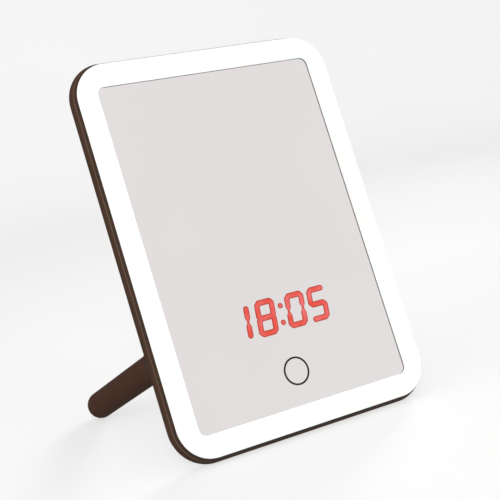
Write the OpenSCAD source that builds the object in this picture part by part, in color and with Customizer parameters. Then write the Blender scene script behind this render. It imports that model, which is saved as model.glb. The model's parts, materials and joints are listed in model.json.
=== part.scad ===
// Desk lamp with mirror: a slim lit mirror with a clock, leaning on two folding legs.
// The panel's pieces are drawn in its own frame: x across, y up the panel, z out of the
// white face. A depth is a distance behind the white face. on_panel() then leans the
// panel back until the case's lower edge and both legs stand on z = 0.

/* [Face] */
// Width of the white face
face_w = 148; // [136:1:180]
// Height of the white face
face_h = 202.4; // [186:0.2:250]
// Corner radius of the white face
face_r = 18; // [15:0.5:24]
// Width of the white border round the mirror
border = 11.6; // [11:0.1:14]
// Corner radius of the mirror's opening
opening_r = 4; // [3:0.5:8]
// How far the mirror lies behind the white face
mirror_drop = 1; // [0.8:0.1:1.3]

/* [Case] */
// Thickness of the whole panel
case_t = 10; // [9.8:0.1:12]
// Slope of the case's side, from square to the face
side_draft = 24; // [18:1:27]
// Radius of the case's rear edge
back_round = 4.5; // [4:0.1:5]
// Inset of the case's inner wall from the edge of the white face
wall_inset = 0.8; // [0.6:0.1:1]
// Thickness of the case's floor
floor_t = 1.5; // [1.3:0.1:1.8]
// Depth at which the bezel meets the rear shell
parting_depth = 2.6; // [2.5:0.1:2.9]
// Drop of the bezel's rim below the white face
bezel_drop = 0.4; // [0.3:0.1:0.6]
// Height taken off the lower edge where the case stands
land_cut = 0.4; // [0.2:0.1:0.8]

/* [Front pieces] */
// Thickness of the opal diffuser
diffuser_t = 2; // [1.8:0.1:2.2]
// Gap between the diffuser and the bezel
rim_gap = 0.1; // [0.05:0.05:0.2]
// Thickness of the mirror glass
glass_t = 2; // [1.8:0.1:2.2]
// How far the glass reaches behind the white border
glass_overlap = 2; // [1.5:0.1:2.5]
// Thickness of the adhesive tape behind the glass
tape_t = 0.25; // [0.15:0.05:0.4]
// Width of the adhesive tape
tape_w = 6; // [4:0.5:8]
// Thickness of the light guide
guide_t = 1.8; // [1.6:0.1:1.9]
// Space between the diffuser and the light guide
guide_gap = 0.3; // [0.2:0.05:0.4]
// Inset of the light guide's edge from the edge of the white face
guide_inset = 3.2; // [3:0.1:3.6]
// Thickness of the reflector sheet
sheet_t = 0.2; // [0.1:0.05:0.3]
// Plate thickness of the inner tray
tray_t = 0.9; // [0.8:0.05:1]
// Thickness of the wall between the tray's two levels
tray_wall = 1.5; // [1:0.1:2]

/* [Lights] */
// Inset of the strips' outer face from the edge of the white face
strip_inset = 1.8; // [1.7:0.1:1.9]
// Thickness of the strips' boards
strip_t = 0.3; // [0.2:0.05:0.4]
// Width of the strips' boards
strip_w = 1.6; // [1.3:0.1:1.6]
// Length of one light
led_l = 3; // [2:0.5:4]
// Height of one light above its board
led_t = 0.8; // [0.5:0.1:0.9]
// Width of one light
led_w = 1; // [0.6:0.1:1.1]
// Distance between neighbouring lights
led_pitch = 12; // [8:1:20]
// Height of the strip's tail above the panel's centre
tail_y = 30; // [24:1:34]
// Width of the strip's tail
tail_w = 4; // [3:0.5:5]

/* [Clock and touch ring] */
// Height of the digits, between the centres of the strokes
digit_h = 15.8; // [12:0.2:18]
// Width of the digits, between the centres of the strokes
digit_w = 8.2; // [7:0.1:9]
// Width of a digit's stroke
stroke_w = 3.1; // [2:0.1:3.4]
// Distance by which a stroke's end is held back from the corner of its digit
stroke_hold = 1.2; // [0.8:0.1:1.5]
// Slope of the digits
digit_slope = 7.5; // [0:0.5:10]
// Place of the second hour digit, across
hours_x = -8.1; // [-9:0.1:-7.6]
// Distance between the two hour digits
hour_pitch = 15.1; // [14:0.1:16]
// Place of the first minute digit, across
minutes_x = 9.9; // [9.4:0.1:11]
// Distance between the two minute digits
minute_pitch = 13.7; // [13:0.1:14]
// Height of the clock's middle above the lower edge of the mirror's opening
clock_rise = 47.4; // [42:0.2:54]
// Height of the touch ring's middle above the lower edge of the mirror's opening
ring_rise = 17.2; // [14:0.2:24]
// Place of the touch ring, across
ring_x = -0.8; // [-4:0.1:4]
// Outer radius of the touch ring
ring_r = 7.3; // [6:0.1:8]
// Line width of the touch ring
ring_line = 0.8; // [0.5:0.1:1.2]
// Thickness of the lit digits and the printed ring
print_t = 0.15; // [0.1:0.05:0.3]
// Width of the display block
display_w = 62; // [60:1:66]
// Height of the display block
display_h = 24; // [22:1:25]
// Thickness of the display block
display_t = 3.2; // [2.8:0.1:3.4]
// Radius of the touch sensor's pad
pad_r = 8; // [6:0.5:9]
// Width of the touch sensor's tail
pad_tail_w = 5; // [3:0.5:8]

/* [Electronics] */
// Depth of the main board's front
board_depth = 6.4; // [6.2:0.1:6.5]
// Thickness of the main board
board_t = 0.8; // [0.6:0.1:0.9]
// Position of the main board's inner edge
board_x = 20; // [16:1:24]
// Distance of the main board's lower edge above the display block
board_gap = 2.2; // [1:0.1:6]
// Position of the main board's upper edge
board_top = 40; // [36:1:44]
// Width of the battery
battery_w = 50; // [40:1:56]
// Height of the battery
battery_h = 80; // [60:1:90]
// Thickness of the battery
battery_t = 3.3; // [3:0.1:3.4]
// Position of the battery's centre, across
battery_x = -20; // [-26:1:-18]
// Distance of the battery above the display block
battery_gap = 4.2; // [3:0.2:10]
// Thickness of the battery's adhesive tape
battery_tape_t = 0.3; // [0.2:0.05:0.4]
// Diameter of the battery leads
lead_d = 0.7; // [0.4:0.1:0.8]
// Width of the display's ribbon
ribbon_w = 10; // [6:1:12]

/* [Charging socket] */
// Width of the socket's shell
socket_w = 8.9; // [8:0.1:9]
// Thickness of the socket's shell
socket_t = 3.2; // [3:0.1:3.3]
// Length of the socket
socket_l = 7.3; // [6.5:0.1:8]
// Wall of the socket's shell
socket_wall = 0.3; // [0.2:0.05:0.4]
// Depth of the socket's middle
socket_depth = 6.55; // [6.5:0.05:6.7]
// Distance of the socket's mouth inside the case's widest line
socket_recess = 0.8; // [0.6:0.1:1.4]
// Clearance round the socket in the case
socket_clear = 0.15; // [0.1:0.05:0.2]
// Thickness of the socket's tongue
tongue_t = 0.7; // [0.5:0.05:0.8]
// Width of the socket's tongue
tongue_w = 6.6; // [6:0.1:7]

/* [Buttons] */
// Diameter of a button's cap
button_d = 6; // [5:0.1:7]
// Diameter of a button's collar
collar_d = 8; // [7.4:0.1:9]
// Clearance of a button in its hole
button_clear = 0.15; // [0.1:0.05:0.2]
// How far a button stands out of the back
button_out = 0.6; // [0.5:0.05:0.9]
// Travel of a button
button_travel = 0.35; // [0.25:0.05:0.4]
// Height of the contact domes
dome_h = 0.3; // [0.2:0.05:0.35]
// Diameter of the contact domes
dome_d = 4; // [3:0.5:5]
// Diameter of the contact domes' flat tops
dome_top_d = 2; // [1:0.5:2.5]
// Position of the row of buttons, across
button_x = 42; // [36:1:46]
// Position of the middle button, up
button_y = 6; // [4:1:10]
// Distance between neighbouring buttons
button_pitch = 13; // [11:0.5:16]
// Play left in the button's travel and under its collar
button_play = 0.04; // [0.02:0.01:0.06]

/* [Legs] */
// Diameter of a leg
leg_d = 15; // [13:0.5:15.5]
// Inset of each leg's axis from the edge of the white face
leg_inset = 12; // [11:0.5:14]
// Distance from a leg's pivot to the centre of its round end
leg_arm = 98.1; // [70:0.1:120]
// How far an open leg turns past square to the back
leg_open = 5.2; // [3:0.1:8]
// Height of the pivots above the lower edge of the white face
pivot_rise = 52.9; // [48:0.1:57]
// Distance of the pivots behind the back
pivot_out = 8.6; // [8.3:0.1:10]
// Width of a leg's tang
tang_w = 9; // [7:0.5:9.5]
// Radius of the tang and the bracket's ears round the pivot
knuckle_r = 6; // [5:0.1:6.2]
// Distance from the pivot to a leg's shoulder
shoulder = 8; // [7.5:0.1:10]
// Diameter of the hinge pin
pin_d = 3; // [2:0.1:4]
// Radial clearance of the pin in the tang
pin_clear = 0.05; // [0.03:0.01:0.09]
// Diameter of the pin's riveted heads
pin_head_d = 5; // [4.4:0.1:6]
// Thickness of the pin's riveted heads
pin_head_t = 0.9; // [0.6:0.1:1.2]
// Thickness of the friction washers
washer_t = 0.3; // [0.2:0.05:0.5]
// Play between a tang and its washers, and at the open stop
hinge_play = 0.06; // [0.04:0.01:0.1]
// Radial clearance of the pin in the bracket's ears
seat_clear = 0.02; // [0.01:0.01:0.03]
// Diameter of the friction washers
washer_d = 9; // [7:0.5:10]
// Thickness of the bracket's ears
ear_t = 3; // [2.4:0.1:3.2]
// Thickness of the bracket's base
base_t = 1.6; // [1.4:0.1:1.9]
// Length of the bracket's base below the pivot
base_l = 17; // [16:0.5:20]
// Thickness of the wall that stops an open leg
stop_t = 2.2; // [1.6:0.1:2.4]
// Height of the stop wall above the pivot
stop_h = 3; // [2:0.5:4]

/* [Screws] */
// Inset of the case screws from the edges of the white face
case_screw_inset = 13; // [12:0.5:14]
// Diameter of the screws' shanks
screw_d = 2; // [1.6:0.1:2.2]
// Diameter of the screws' heads
head_d = 3.8; // [3.4:0.1:4]
// Thickness of the screws' heads
head_t = 0.75; // [0.6:0.05:0.8]
// Radial clearance of the screws' shanks and heads
screw_clear = 0.1; // [0.05:0.05:0.15]
// Diameter of the bosses that take the screws
boss_d = 5; // [4.5:0.1:6]
// Floor or plate left under a blind screw
blind_t = 0.6; // [0.4:0.05:0.7]
// Diameter of the cross recess in the screws' heads
drive_d = 2; // [1.4:0.1:2.4]
// Width of one slot of the cross recess
drive_w = 0.5; // [0.4:0.05:0.7]
// Depth of the cross recess
drive_depth = 0.4; // [0.2:0.05:0.5]

/* [Hidden] */
$fn = 96;

// Colours
case_brown = "#4b382e";
leg_brown = "#423025";
opal_white = "#fbfbf9";
mirror_grey = "#e3dede";
digit_red = "#f0645c";
ring_grey = "#3c3837";
board_green = "#2f5a3c";
part_black = "#2b2b2d";
metal_grey = "#b9bbbe";

// Small overlap that lets a cut pass through a face
cut = 1;

// Mirror opening
opening_w = face_w - 2 * border;
opening_h = face_h - 2 * border;

// Depths of the layers behind the white face
glass_back = mirror_drop + glass_t;
plateau_front = glass_back + tape_t;
tape_out = glass_overlap - tray_wall;
plateau_back = plateau_front + tray_t;
guide_front = diffuser_t + guide_gap;
guide_back = guide_front + guide_t;
flange_front = guide_back + sheet_t;
flange_back = flange_front + tray_t;
floor_front = case_t - floor_t;
board_back = board_depth + board_t;

// Case section: the side slopes out from the face, then rounds into the back
round_depth = case_t - back_round;
round_out = (round_depth * sin(side_draft) - back_round) / cos(side_draft);
flare = round_out + back_round;
tangent_out = round_out + back_round * cos(side_draft);
tangent_depth = round_depth - back_round * sin(side_draft);
edge_reach = 9;

// Bezel ledge and skirt, measured inwards from the edge of the white face
ledge_inset = strip_inset + strip_t;
skirt_gap = 0.1;
skirt_back = flange_front;

// Inset of the tray's edge, and its clearance round what passes through it
tray_gap = 0.2;
tray_inset = strip_inset + tray_gap;
notch_clear = 0.3;

// Places of the clock and the ring, up the panel
clock_y = clock_rise - opening_h / 2;
ring_y = ring_rise - opening_h / 2;
display_low = clock_y - display_h / 2;
display_top = clock_y + display_h / 2;

// Places of the digits across, the segments that each one lights, and the colon
digit_cells = [hours_x - hour_pitch, hours_x, minutes_x, minutes_x + minute_pitch];
digit_segments = [[1, 2], [0, 1, 2, 3, 4, 5, 6], [0, 1, 2, 3, 4, 5], [0, 2, 3, 5, 6]];
segment_ends = [[[0, 2], [1, 2]], [[1, 2], [1, 1]], [[1, 1], [1, 0]], [[0, 0], [1, 0]],
    [[0, 1], [0, 0]], [[0, 2], [0, 1]], [[0, 1], [1, 1]]];
colon_x = 0.9;
colon_d = 2.9;
colon_rise = 4.3;

// Legs: the round end's centre, and the lean at which case and legs share one table
leg_r = leg_d / 2;
leg_x = face_w / 2 - leg_inset;
pivot_y = pivot_rise - face_h / 2;
pivot_depth = case_t + pivot_out;
tip_y = pivot_y - leg_arm * sin(leg_open);
tip_depth = pivot_depth + leg_arm * cos(leg_open);
foot_y = -face_h / 2 - round_out;
foot_r = back_round - land_cut;
stand_y = tip_y - foot_y;
stand_depth = tip_depth - round_depth;
lean = atan2(stand_y, stand_depth) - asin((leg_r - foot_r) / norm([stand_y, stand_depth]));
stand_z = foot_r - foot_y * cos(lean) + round_depth * sin(lean);
front_reach = -(face_h / 2 - rim_gap) * sin(lean);
rear_reach = tip_y * sin(lean) + tip_depth * cos(lean) + leg_r;
stand_shift = -(front_reach + rear_reach) / 2;

// Hinge widths
ear_in = tang_w / 2 + washer_t + hinge_play;
ear_out = ear_in + ear_t;
stop_y = -knuckle_r / cos(leg_open) - stop_h * tan(leg_open) - hinge_play;
bracket_screw_x = ear_in;
bracket_screw_drop = (stop_t - stop_y + base_l) / 2;

// Main board and its fixings
board_right = face_w / 2 - strip_inset - strip_t;
board_low = display_top + board_gap;
board_mid = (board_low + board_top) / 2;
board_fix_inset = 4;
board_fixings = [[board_x + board_fix_inset, board_low + board_fix_inset],
    [board_x + board_fix_inset, board_top - board_fix_inset],
    [board_right - 2 * board_fix_inset, board_low + board_fix_inset]];
battery_y = display_top + battery_gap + battery_h / 2;
chip_sizes = [9, 7, 5];
chip_t = 1;
chip_pitch = 13;
chip_drop = 9;
lead_pitch = 2.5;
button_places = [for (step = [1, 0, -1]) [button_x, button_y + step * button_pitch]];
case_fixings = [for (side = [-1, 1], end = [-1, 1])
    [side * (face_w / 2 - case_screw_inset), end * (face_h / 2 - case_screw_inset)]];
socket_mouth = face_w / 2 + flare - socket_recess;

// Leans the panel's frame back and stands it on the table
module on_panel() {
    translate([0, stand_shift, stand_z])
        rotate([90 - lean, 0, 0])
            children();
}

// Rectangle with round corners
module rounded(w, h, r) {
    square([w - 2 * r, h], center = true);
    square([w, h - 2 * r], center = true);
    for (x = [-1, 1], y = [-1, 1])
        translate([x * (w / 2 - r), y * (h / 2 - r)])
            circle(r);
}

// Slab between two depths
module slab(w, h, r, front, back) {
    translate([0, 0, -back])
        linear_extrude(back - front)
            rounded(w, h, r);
}

// Slab with the white face's outline, set in by an inset
module face_slab(inset, front, back) {
    slab(face_w - 2 * inset, face_h - 2 * inset, face_r - inset, front, back);
}

// Slab with the mirror opening's outline, set out by an outset
module opening_slab(outset, front, back) {
    slab(opening_w + 2 * outset, opening_h + 2 * outset, opening_r + outset, front, back);
}

// Block between two depths, placed by its edges
module block(left, right, low, top, front, back) {
    translate([left, low, -back])
        cube([right - left, top - low, back - front]);
}

// Round post between two depths
module post(place, d, front, back) {
    translate([place[0], place[1], -back])
        cylinder(d = d, h = back - front);
}

// Sweeps a section round the edge of the white face: x points outwards, y is minus the depth
module along_edge() {
    for (turn = [0 : 3]) {
        across = turn % 2 == 0 ? face_w : face_h;
        along = turn % 2 == 0 ? face_h : face_w;
        rotate(90 * turn) {
            translate([across / 2, along / 2 - face_r, 0])
                rotate([90, 0, 0])
                    linear_extrude(along - 2 * face_r)
                        children();
            translate([across / 2 - face_r, along / 2 - face_r, 0])
                rotate_extrude(angle = 90)
                    translate([face_r, 0])
                        children();
        }
    }
}

// Part of a section between two depths and two distances from the edge
module band(inner, outer, front, back) {
    translate([inner, -back])
        square([outer - inner, back - front]);
}

// Outer section of the whole case
module case_section() {
    polygon([[-edge_reach, 0], [0, 0], [tangent_out, -tangent_depth],
        [round_out, -round_depth], [round_out, -case_t], [-edge_reach, -case_t]]);
    translate([round_out, -round_depth])
        circle(back_round);
}

// Screw with its head at a depth and its shank running towards the face or the back
module screw(place, head_depth, length, towards_face) {
    translate([place[0], place[1], -head_depth])
        mirror([0, 0, towards_face ? 0 : 1])
            difference() {
                union() {
                    translate([0, 0, -head_t])
                        cylinder(d = head_d, h = head_t);
                    cylinder(d = screw_d, h = length);
                }
                for (turn = [0, 90])
                    rotate(turn)
                        translate([-drive_d / 2, -drive_w / 2, -head_t - cut])
                            cube([drive_d, drive_w, drive_depth + cut]);
            }
}

// Opening for the charging socket, as a bar with round ends along x
module socket_bar(w, t, left, right) {
    translate([left, 0, -socket_depth])
        rotate([90, 0, 90])
            linear_extrude(right - left) {
                square([w - t, t], center = true);
                for (side = [-1, 1])
                    translate([side * (w - t) / 2, 0])
                        circle(d = t);
            }
}

// Rear shell of the case, cut flat where it stands
module rear_shell() {
    color(case_brown)
        difference() {
            on_panel()
                difference() {
                    union() {
                        along_edge()
                            difference() {
                                intersection() {
                                    case_section();
                                    band(-edge_reach, flare + cut, parting_depth, case_t);
                                }
                                band(-edge_reach - cut, -wall_inset, 0, floor_front);
                            }
                        face_slab(edge_reach - cut, floor_front, case_t);
                        for (place = board_fixings)
                            post(place, boss_d, board_back, case_t - floor_t / 2);
                        for (side = [-1, 1], x = [-1, 1])
                            post([side * leg_x + x * bracket_screw_x, pivot_y - bracket_screw_drop],
                                boss_d, floor_front - floor_t, case_t - floor_t / 2);
                    }
                    for (place = board_fixings)
                        post(place, screw_d + 2 * screw_clear, board_back - cut, case_t - blind_t);
                    for (side = [-1, 1], x = [-1, 1])
                        post([side * leg_x + x * bracket_screw_x, pivot_y - bracket_screw_drop],
                            screw_d + 2 * screw_clear, floor_front - floor_t + blind_t, case_t + cut);
                    for (place = case_fixings) {
                        post(place, screw_d + 2 * screw_clear, floor_front - cut, case_t);
                        post(place, head_d + 2 * screw_clear, case_t - head_t, case_t + cut);
                    }
                    for (place = button_places)
                        post(place, button_d + 2 * button_clear, floor_front - cut, case_t + cut);
                    socket_bar(socket_w + 2 * socket_clear, socket_t + 2 * socket_clear,
                        face_w / 2 - wall_inset - cut, face_w / 2 + flare + cut);
                }
            translate([-face_w, -face_h, -face_h])
                cube([2 * face_w, 2 * face_h, face_h]);
        }
}

// Front bezel: sloping rim, ledge under the diffuser and skirt inside the shell
module front_bezel() {
    color(case_brown)
        on_panel()
            along_edge() {
                difference() {
                    intersection() {
                        case_section();
                        band(-ledge_inset, flare, bezel_drop, parting_depth);
                    }
                    band(-ledge_inset - cut, 0, 0, diffuser_t);
                }
                band(-strip_inset, -wall_inset - skirt_gap, diffuser_t, skirt_back);
            }
}

// Opal border with a lip over the mirror
module light_diffuser() {
    color(opal_white)
        on_panel()
            difference() {
                face_slab(rim_gap, 0, diffuser_t);
                opening_slab(0, -cut, diffuser_t + cut);
                opening_slab(glass_overlap + rim_gap, mirror_drop, diffuser_t + cut);
            }
}

// Half-silvered glass
module mirror_glass() {
    color(mirror_grey)
        on_panel()
            opening_slab(glass_overlap, mirror_drop, glass_back);
}

// Adhesive frame between glass and tray
module mirror_tape() {
    color(part_black)
        on_panel()
            difference() {
                opening_slab(tape_out, glass_back, plateau_front);
                slab(opening_w + 2 * (tape_out - tape_w), opening_h + 2 * (tape_out - tape_w), opening_r,
                    glass_back - cut, plateau_front + cut);
            }
}

// Printed ring that marks the touch switch
module touch_ring() {
    color(ring_grey)
        on_panel()
            difference() {
                post([ring_x, ring_y], 2 * ring_r, mirror_drop - print_t, mirror_drop);
                post([ring_x, ring_y], 2 * (ring_r - ring_line),
                    mirror_drop - print_t - cut, mirror_drop + cut);
            }
}

// Place of a point of the digits' grid, two columns and three rows, with the slope
function grid_point(cell, p) =
    let (up = (p[1] - 1) * digit_h / 2)
    [cell + (p[0] - 0.5) * digit_w + up * tan(digit_slope), up + clock_y];

// End of a segment, held back from its grid point
function held_end(cell, segment, end) =
    let (here = grid_point(cell, segment_ends[segment][end]),
        there = grid_point(cell, segment_ends[segment][1 - end]))
    here + (there - here) * stroke_hold / norm(there - here);

// Whether a segment lies across its digit
function lies_flat(segment) = segment_ends[segment][0][1] == segment_ends[segment][1][1];

// One stroke with round ends
module stroke(p, q) {
    side = [p[1] - q[1], q[0] - p[0]] / norm(q - p) * stroke_w / 2;
    linear_extrude(print_t)
        polygon([p + side, q + side, q - side, p - side]);
    for (end = [p, q])
        translate(end)
            cylinder(d = stroke_w, h = print_t);
}

// One digit: its lit segments, and a slanting link wherever a flat one meets an upright one
module digit(cell, lit) {
    for (segment = lit)
        stroke(held_end(cell, segment, 0), held_end(cell, segment, 1));
    for (flat = lit, upright = lit, i = [0, 1], j = [0, 1])
        if (lies_flat(flat) && !lies_flat(upright) && segment_ends[flat][i] == segment_ends[upright][j])
            stroke(held_end(cell, flat, i), held_end(cell, upright, j));
}

// Lit digits and colon of the clock
module clock_digits() {
    color(digit_red)
        on_panel()
            translate([0, 0, -mirror_drop]) {
                for (place = [0 : len(digit_cells) - 1])
                    digit(digit_cells[place], digit_segments[place]);
                for (side = [-1, 1])
                    translate([colon_x + side * colon_rise * tan(digit_slope), side * colon_rise + clock_y])
                        cylinder(d = colon_d, h = print_t);
            }
}

// Display block behind the glass
module display_block() {
    color(part_black)
        on_panel()
            block(-display_w / 2, display_w / 2, display_low, display_top,
                glass_back, glass_back + display_t);
}

// Touch foil behind the ring, with its tail to the display block
module touch_sensor() {
    color("#b87333")
        on_panel() {
            post([ring_x, ring_y], 2 * pad_r, glass_back, plateau_front);
            block(ring_x - pad_tail_w / 2, ring_x + pad_tail_w / 2, ring_y, display_low,
                glass_back, plateau_front);
        }
}

// Flat ribbon from the display block to the main board
module display_ribbon() {
    color(opal_white)
        on_panel()
            block(board_x, board_x + ribbon_w, clock_y, board_low + board_fix_inset / 2,
                glass_back + display_t, board_depth);
}

// Inner tray: plateau for the mirror, flange for the light guide, bosses for the case screws
module inner_tray() {
    color(opal_white)
        on_panel()
            difference() {
                union() {
                    opening_slab(glass_overlap, plateau_front, plateau_back);
                    difference() {
                        union() {
                            opening_slab(glass_overlap, plateau_front, flange_back);
                            face_slab(tray_inset, flange_front, flange_back);
                        }
                        opening_slab(glass_overlap - tray_wall, plateau_back - cut, flange_back + cut);
                    }
                    for (place = case_fixings)
                        post(place, boss_d, plateau_back - tray_t / 2, floor_front);
                }
                for (place = case_fixings)
                    post(place, screw_d + 2 * screw_clear, plateau_back + blind_t, floor_front + cut);
                block(-display_w / 2 - notch_clear, display_w / 2 + notch_clear,
                    display_low - notch_clear, display_top + notch_clear,
                    plateau_front - cut, plateau_back + cut);
                block(board_right - notch_clear, face_w / 2, tail_y - tail_w / 2 - notch_clear,
                    tail_y + tail_w / 2 + notch_clear, flange_front - cut, flange_back + cut);
                block(socket_mouth - socket_l - notch_clear, face_w / 2, -socket_w / 2 - notch_clear,
                    socket_w / 2 + notch_clear, flange_front - cut, flange_back + cut);
            }
}

// Ring between the mirror and the strips, at two depths
module guide_ring(front, back) {
    difference() {
        face_slab(guide_inset, front, back);
        opening_slab(glass_overlap + rim_gap, front - cut, back + cut);
    }
}

// Light guide behind the white border
module light_guide() {
    color("#eef4f6")
        on_panel()
            guide_ring(guide_front, guide_back);
}

// Reflector sheet behind the light guide
module reflector_sheet() {
    color("#f4f4f4")
        on_panel()
            guide_ring(guide_back, flange_front);
}

// Board of one light strip, on the side that a turn brings to the right
module led_strip(turn, across, along) {
    outer = across / 2 - strip_inset;
    on_panel()
        rotate(turn)
            block(outer - strip_t, outer, face_r - along / 2, along / 2 - face_r,
                flange_front - strip_w, flange_front);
}

// Left light strip
module led_strip_left() {
    color(opal_white)
        led_strip(180, face_w, face_h);
}

// Right light strip, with the tail that feeds all four
module led_strip_right() {
    color(opal_white) {
        led_strip(0, face_w, face_h);
        on_panel()
            block(board_right, board_right + strip_t, tail_y - tail_w / 2, tail_y + tail_w / 2,
                flange_front - strip_w / 2, board_back);
    }
}

// Upper light strip
module led_strip_top() {
    color(opal_white)
        led_strip(90, face_h, face_w);
}

// Lower light strip
module led_strip_bottom() {
    color(opal_white)
        led_strip(270, face_h, face_w);
}

// Lights along all four strips
module led_chips() {
    color("#ffe9a8")
        on_panel()
            for (turn = [0 : 3]) {
                across = turn % 2 == 0 ? face_w : face_h;
                along = turn % 2 == 0 ? face_h : face_w;
                count = floor((along - 2 * face_r - led_l) / led_pitch);
                front = flange_front - (strip_w + led_w) / 2;
                outer = across / 2 - strip_inset - strip_t;
                rotate(90 * turn)
                    for (step = [-count / 2 : count / 2])
                        block(outer - led_t, outer, step * led_pitch - led_l / 2,
                            step * led_pitch + led_l / 2, front, front + led_w);
            }
}

// Main board with its notch for the charging socket
module main_board() {
    color(board_green)
        on_panel()
            difference() {
                block(board_x, board_right, board_low, board_top, board_depth, board_back);
                block(socket_mouth - socket_l, board_right + cut, -socket_w / 2, socket_w / 2,
                    board_depth - cut, board_back + cut);
                for (place = board_fixings)
                    post(place, screw_d + 2 * screw_clear, board_depth - cut, board_back + cut);
            }
}

// Controller, charger and coil on the front of the main board
module board_chips() {
    color(part_black)
        on_panel()
            for (place = [0 : len(chip_sizes) - 1]) {
                half = chip_sizes[place] / 2;
                x = board_x + (place + 1) * chip_pitch;
                y = board_top - chip_drop;
                block(x - half, x + half, y - half, y + half, board_depth - chip_t, board_depth);
            }
}

// Screws that hold the main board
module board_screws() {
    color(metal_grey)
        on_panel()
            for (place = board_fixings)
                screw(place, board_depth, case_t - 2 * blind_t - board_depth, false);
}

// Contact domes on the back of the main board
module dome_contacts() {
    color(metal_grey)
        on_panel()
            for (place = button_places)
                translate([place[0], place[1], -board_back - dome_h])
                    cylinder(d1 = dome_top_d, d2 = dome_d, h = dome_h);
}

// Metal shell of the charging socket
module usb_socket() {
    color(metal_grey)
        on_panel()
            difference() {
                socket_bar(socket_w, socket_t, socket_mouth - socket_l, socket_mouth);
                socket_bar(socket_w - 2 * socket_wall, socket_t - 2 * socket_wall,
                    socket_mouth - socket_l + 2 * socket_wall, socket_mouth + cut);
            }
}

// Contact tongue inside the charging socket
module usb_tongue() {
    color(part_black)
        on_panel()
            block(socket_mouth - socket_l + 2 * socket_wall, socket_mouth - socket_recess,
                -tongue_w / 2, tongue_w / 2, socket_depth - tongue_t / 2, socket_depth + tongue_t / 2);
}

// Flat rechargeable cell
module battery() {
    color("#8d9196")
        on_panel()
            block(battery_x - battery_w / 2, battery_x + battery_w / 2, battery_y - battery_h / 2,
                battery_y + battery_h / 2, floor_front - battery_tape_t - battery_t,
                floor_front - battery_tape_t);
}

// Adhesive tape under the cell
module battery_tape() {
    color(opal_white)
        on_panel()
            block(battery_x - battery_w / 2 + tape_w, battery_x + battery_w / 2 - tape_w,
                battery_y - battery_h / 2 + tape_w, battery_y + battery_h / 2 - tape_w,
                floor_front - battery_tape_t, floor_front);
}

// Two leads from the cell to the main board
module battery_leads() {
    color("#c23b30")
        on_panel()
            for (step = [0, 1])
                translate([battery_x + battery_w / 2, board_mid + step * lead_pitch,
                    -board_depth - board_t / 2])
                    rotate([0, 90, 0])
                        cylinder(d = lead_d, h = board_x - battery_x - battery_w / 2);
}

// Push button: cap through the case, collar inside it
module push_button(place) {
    color(part_black)
        on_panel() {
            post(place, button_d, floor_front - button_play, case_t + button_out);
            post(place, collar_d, board_back + dome_h + button_travel + button_play,
                floor_front - button_play);
        }
}

// Button that sets the time
module set_button() {
    push_button(button_places[0]);
}

// Button that counts up
module up_button() {
    push_button(button_places[1]);
}

// Button that counts down
module down_button() {
    push_button(button_places[2]);
}

// Screws that close the case
module case_screws() {
    color(metal_grey)
        on_panel()
            for (place = case_fixings)
                screw(place, case_t - head_t, case_t - head_t - plateau_back - 2 * blind_t, true);
}

// Frame of one hinge: x along the pin, y up the panel, z out of the back, origin on the pin
module at_hinge(side) {
    on_panel()
        translate([side * leg_x, pivot_y, -pivot_depth])
            mirror([0, 0, 1])
                children();
}

// Bar along the pin
module pin_bar(d, left, right) {
    translate([left, 0, 0])
        rotate([0, 90, 0])
            cylinder(d = d, h = right - left);
}

// Hinge bracket: base on the back and two ears
module hinge_bracket(side) {
    color(case_brown)
        at_hinge(side)
            difference() {
                union() {
                    translate([-ear_out, -base_l, -pivot_out])
                        cube([2 * ear_out, base_l + knuckle_r, base_t]);
                    translate([-ear_out, stop_y - stop_t, -pivot_out])
                        cube([2 * ear_out, stop_t, pivot_out + stop_h]);
                    for (ear = [-1, 1])
                        translate([ear > 0 ? ear_in : -ear_out, 0, 0]) {
                            pin_bar(2 * knuckle_r, 0, ear_t);
                            translate([0, stop_y - stop_t / 2, -pivot_out])
                                cube([ear_t, knuckle_r - stop_y + stop_t / 2, pivot_out]);
                        }
                }
                pin_bar(pin_d + 2 * seat_clear, -ear_out - cut, ear_out + cut);
                for (x = [-1, 1])
                    translate([x * bracket_screw_x, -bracket_screw_drop, -pivot_out - cut])
                        cylinder(d = screw_d + 2 * screw_clear, h = base_t + 2 * cut);
            }
}

// Left hinge bracket
module left_bracket() {
    hinge_bracket(-1);
}

// Right hinge bracket
module right_bracket() {
    hinge_bracket(1);
}

// Screws that hold both brackets
module bracket_screws() {
    color(metal_grey)
        on_panel()
            for (side = [-1, 1], x = [-1, 1])
                screw([side * leg_x + x * bracket_screw_x, pivot_y - bracket_screw_drop],
                    case_t + base_t, base_t + 2 * floor_t - 2 * blind_t, true);
}

// Riveted hinge pin
module hinge_pin(side) {
    color(metal_grey)
        at_hinge(side) {
            pin_bar(pin_d, -ear_out, ear_out);
            pin_bar(pin_head_d, -ear_out - pin_head_t, -ear_out);
            pin_bar(pin_head_d, ear_out, ear_out + pin_head_t);
        }
}

// Left hinge pin
module left_hinge_pin() {
    hinge_pin(-1);
}

// Right hinge pin
module right_hinge_pin() {
    hinge_pin(1);
}

// Friction washers on both sides of a tang
module hinge_washers(side) {
    color(part_black)
        at_hinge(side)
            for (face = [-1, 1])
                translate([face * (ear_in - washer_t / 2), 0, 0])
                    difference() {
                        pin_bar(washer_d, -washer_t / 2, washer_t / 2);
                        pin_bar(pin_d + 2 * pin_clear, -washer_t, washer_t);
                    }
}

// Left friction washers
module left_washers() {
    hinge_washers(-1);
}

// Right friction washers
module right_washers() {
    hinge_washers(1);
}

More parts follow.
